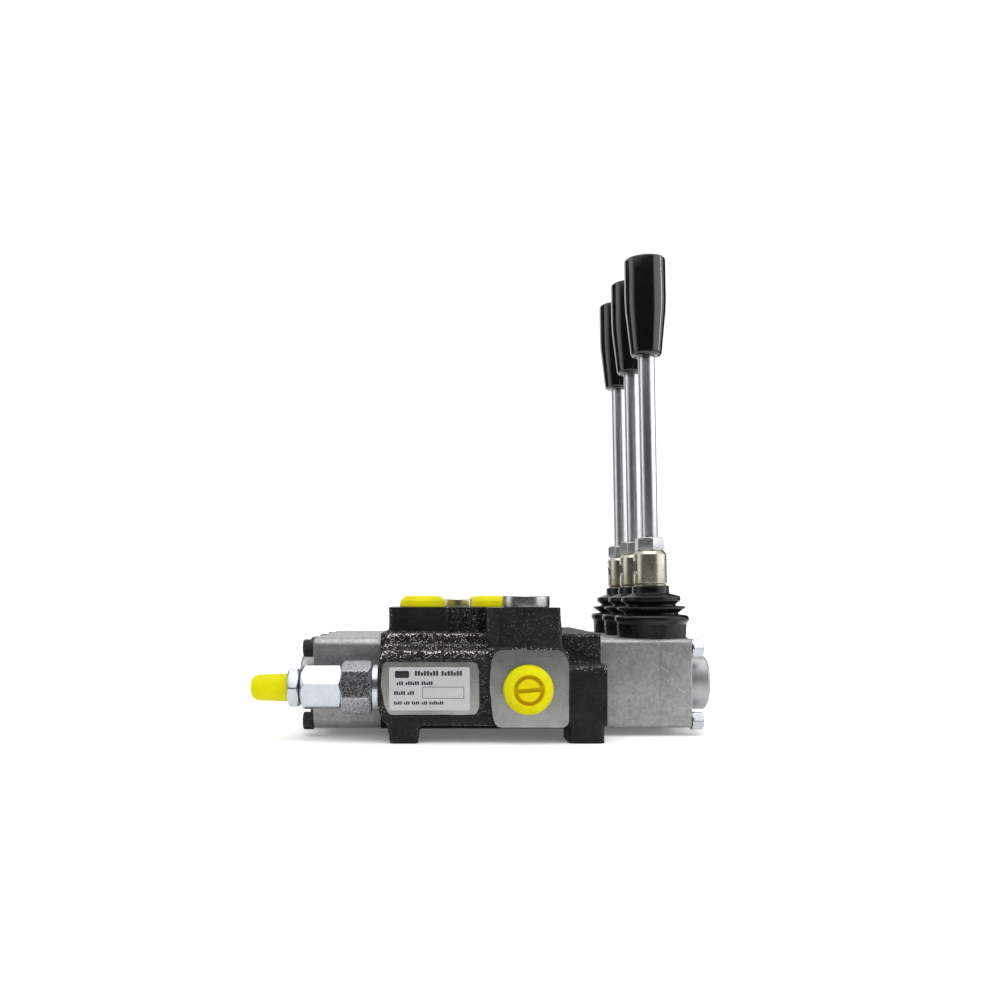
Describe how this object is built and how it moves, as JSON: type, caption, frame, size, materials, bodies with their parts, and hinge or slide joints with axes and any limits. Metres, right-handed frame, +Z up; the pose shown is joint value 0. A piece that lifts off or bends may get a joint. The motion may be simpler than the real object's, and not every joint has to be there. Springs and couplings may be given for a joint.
{
  "type": "hydraulic monoblock directional valve",
  "caption": "Manual monoblock directional control valve with tall spring-centred levers, rubber boots, work ports on top and a screw-in relief cartridge.",
  "frame": {"origin": "centre of the four mounting holes, in the plane of the feet", "axes": "+X along the spools towards the levers, +Y across the sections from the inlet face to the outlet face, +Z up"},
  "size_m": [0.2178, 0.161, 0.2335],
  "materials": {
    "cast_iron": "dark painted sand casting, machined pads",
    "label": "printed foil",
    "zinc_plate": "zinc plated",
    "bright_steel": "turned",
    "spring_steel": "drawn wire",
    "yellow_plastic": "moulded",
    "machined_aluminium": "turned",
    "black_steel": "black oxide",
    "seal_rubber": "moulded",
    "die_cast_aluminium": "die cast, satin",
    "boot_rubber": "moulded, satin",
    "zinc_cast": "zinc die casting, satin",
    "chromed_steel": "polished",
    "knob_plastic": "moulded, glossy"
  },
  "bodies": {
    "housing": {"valve_body": "cast_iron", "nameplate": "label", "relief_seal_washer": "zinc_plate", "relief_adapter": "zinc_plate", "relief_bonnet": "bright_steel", "relief_lock_nut": "zinc_plate", "relief_cap": "yellow_plastic", "relief_spring": "spring_steel", "inlet_port_plug": "yellow_plastic", "outlet_port_plug": "yellow_plastic", "work_port_plugs": "yellow_plastic", "gallery_plugs": "bright_steel", "load_check_plugs": "bright_steel", "load_check_springs": "spring_steel", "lever_pivot_pins": "bright_steel", "lever_end_caps": "machined_aluminium", "spring_cap_screws": "black_steel", "lever_housing_screws": "bright_steel", "spool_seals": "seal_rubber", "spring_cap_1": "die_cast_aluminium", "spring_cap_2": "die_cast_aluminium", "spring_cap_3": "die_cast_aluminium", "lever_housing_1": "die_cast_aluminium", "lever_housing_2": "die_cast_aluminium", "lever_housing_3": "die_cast_aluminium", "boot_1": "boot_rubber", "boot_2": "boot_rubber", "boot_3": "boot_rubber"},
    "relief_poppet": {"relief_poppet": "bright_steel"},
    "relief_spring_seat": {"relief_spring_seat": "bright_steel"},
    "relief_adjuster": {"relief_adjuster": "bright_steel"},
    "spool_1": {"spool_1": "bright_steel", "stem_screw_1": "black_steel", "spring_seats_1": "bright_steel", "centring_spring_1": "spring_steel"},
    "lever_1": {"lever_pivot_1": "bright_steel", "lever_hub_1": "zinc_cast", "lever_rod_1": "chromed_steel", "knob_1": "knob_plastic"},
    "load_check_1": {"load_check_poppet_1": "bright_steel"},
    "spool_2": {"spool_2": "bright_steel", "stem_screw_2": "black_steel", "spring_seats_2": "bright_steel", "centring_spring_2": "spring_steel"},
    "lever_2": {"lever_pivot_2": "bright_steel", "lever_hub_2": "zinc_cast", "lever_rod_2": "chromed_steel", "knob_2": "knob_plastic"},
    "load_check_2": {"load_check_poppet_2": "bright_steel"},
    "spool_3": {"spool_3": "bright_steel", "stem_screw_3": "black_steel", "spring_seats_3": "bright_steel", "centring_spring_3": "spring_steel"},
    "lever_3": {"lever_pivot_3": "bright_steel", "lever_hub_3": "zinc_cast", "lever_rod_3": "chromed_steel", "knob_3": "knob_plastic"},
    "load_check_3": {"load_check_poppet_3": "bright_steel"}
  },
  "joints": [
    {"name": "lever_tilt_1", "type": "hinge", "parent": "housing", "child": "lever_1", "pos_m": [0.0809, -0.032, 0.042], "axis": [0, 1, 0], "range_deg": [-20, 20], "stiffness_Nm_per_rad": 4, "deforming": ["boot_1"]},
    {"name": "spool_slide_1", "type": "slide", "parent": "housing", "child": "spool_1", "axis": [1, 0, 0], "range_m": [-0.006, 0.006]},
    {"name": "load_check_lift_1", "type": "slide", "parent": "housing", "child": "load_check_1", "axis": [0, 0, 1], "range_m": [0, 0.003], "stiffness_N_per_m": 200, "springref_m": -0.002, "deforming": ["load_check_springs"]},
    {"name": "lever_tilt_2", "type": "hinge", "parent": "housing", "child": "lever_2", "pos_m": [0.0809, 0.006, 0.042], "axis": [0, 1, 0], "range_deg": [-20, 20], "stiffness_Nm_per_rad": 4, "deforming": ["boot_2"]},
    {"name": "spool_slide_2", "type": "slide", "parent": "housing", "child": "spool_2", "axis": [1, 0, 0], "range_m": [-0.006, 0.006]},
    {"name": "load_check_lift_2", "type": "slide", "parent": "housing", "child": "load_check_2", "axis": [0, 0, 1], "range_m": [0, 0.003], "stiffness_N_per_m": 200, "springref_m": -0.002, "deforming": ["load_check_springs"]},
    {"name": "lever_tilt_3", "type": "hinge", "parent": "housing", "child": "lever_3", "pos_m": [0.0809, 0.044, 0.042], "axis": [0, 1, 0], "range_deg": [-20, 20], "stiffness_Nm_per_rad": 4, "deforming": ["boot_3"]},
    {"name": "spool_slide_3", "type": "slide", "parent": "housing", "child": "spool_3", "axis": [1, 0, 0], "range_m": [-0.006, 0.006]},
    {"name": "load_check_lift_3", "type": "slide", "parent": "housing", "child": "load_check_3", "axis": [0, 0, 1], "range_m": [0, 0.003], "stiffness_N_per_m": 200, "springref_m": -0.002, "deforming": ["load_check_springs"]},
    {"name": "relief_advance", "type": "slide", "parent": "housing", "child": "relief_spring_seat", "axis": [1, 0, 0], "range_m": [-0.0005, 0.0005], "deforming": ["relief_spring"]},
    {"name": "relief_turn", "type": "hinge", "parent": "relief_spring_seat", "child": "relief_adjuster", "pos_m": [-0.09, -0.063, 0.0245], "axis": [1, 0, 0], "range_deg": [-180, 180]},
    {"name": "relief_poppet_lift", "type": "slide", "parent": "housing", "child": "relief_poppet", "axis": [-1, 0, 0], "range_m": [0, 0.0015], "stiffness_N_per_m": 1000, "springref_m": -0.001, "deforming": ["relief_spring"]}
  ],
  "couplings": [
    {"joint": "spool_slide_1", "follows": "lever_tilt_1", "m_per_rad": -0.01715},
    {"joint": "spool_slide_2", "follows": "lever_tilt_2", "m_per_rad": -0.01715},
    {"joint": "spool_slide_3", "follows": "lever_tilt_3", "m_per_rad": -0.01715},
    {"joint": "relief_turn", "follows": "relief_advance", "rad_per_m": 6283.2}
  ]
}
